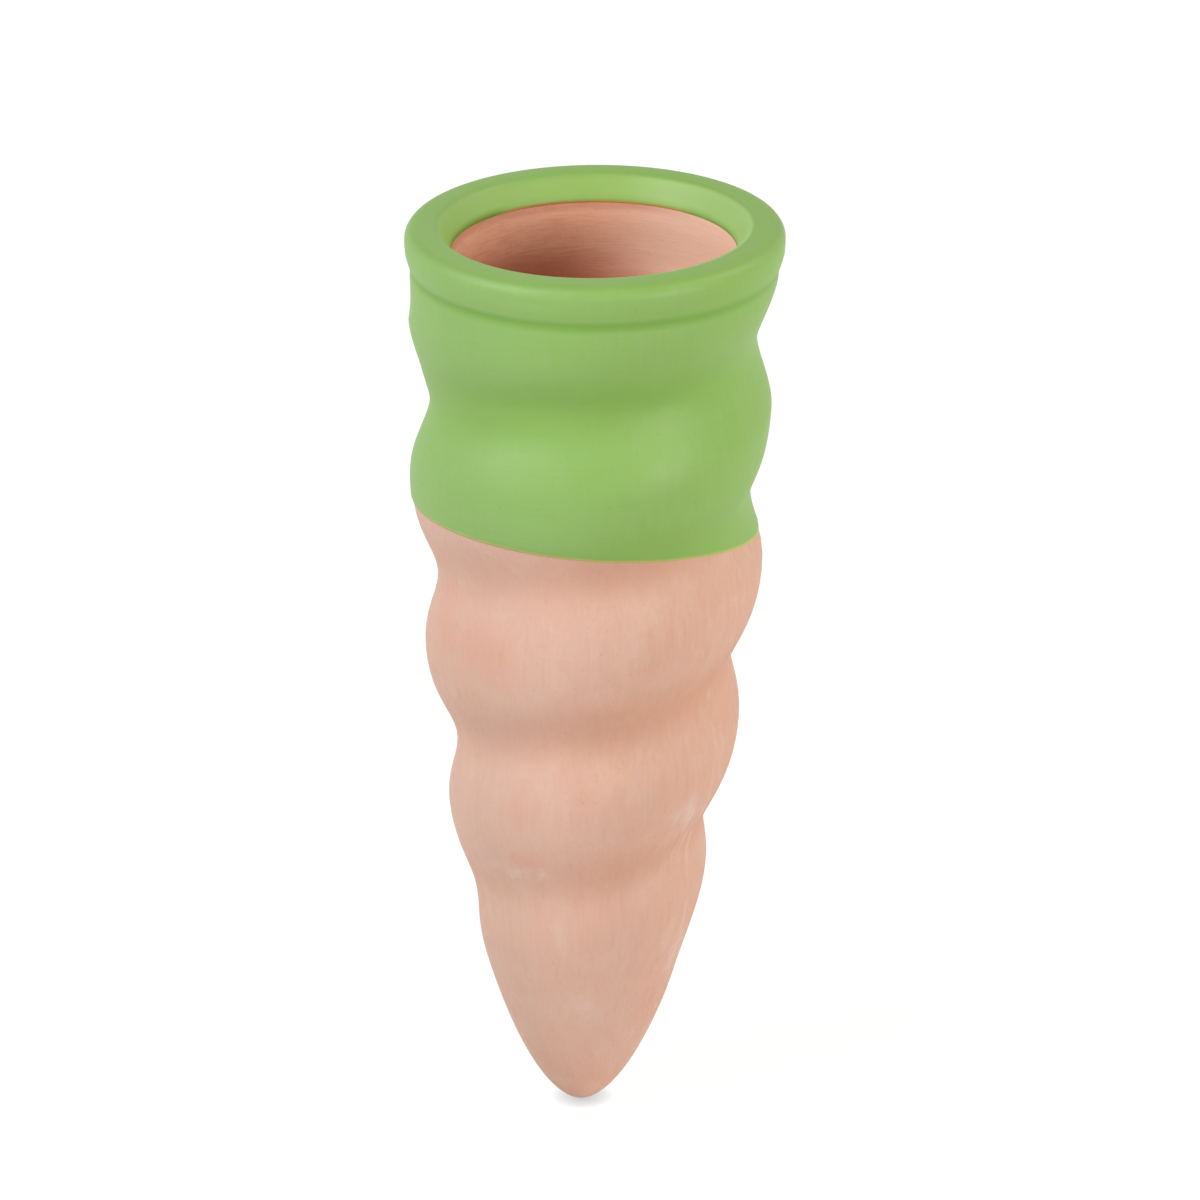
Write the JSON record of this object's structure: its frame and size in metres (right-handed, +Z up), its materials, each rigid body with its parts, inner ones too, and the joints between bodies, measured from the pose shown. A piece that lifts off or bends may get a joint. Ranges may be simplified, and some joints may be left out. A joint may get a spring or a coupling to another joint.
{
  "type": "self watering spike",
  "caption": "Hollow tapered clay spike with a spiral groove and a rolled rim; its mouth takes an upturned bottle neck and its bare lower wall seeps water into the soil.",
  "frame": {"origin": "on the mouth's axis, at the height of the coat's lower edge, which is where the soil comes up to when the spike is pushed in", "axes": "+Z up along the mouth's axis, out of the mouth; the tip points to -Z. +X to the right and +Y away in the front view"},
  "size_m": [0.045, 0.045, 0.115],
  "materials": {
    "bare_clay": "matte, unglazed",
    "green_coat": "matte"
  },
  "bodies": {
    "root": {"clay_spike": "bare_clay", "colour_coat": "green_coat"}
  },
  "joints": []
}
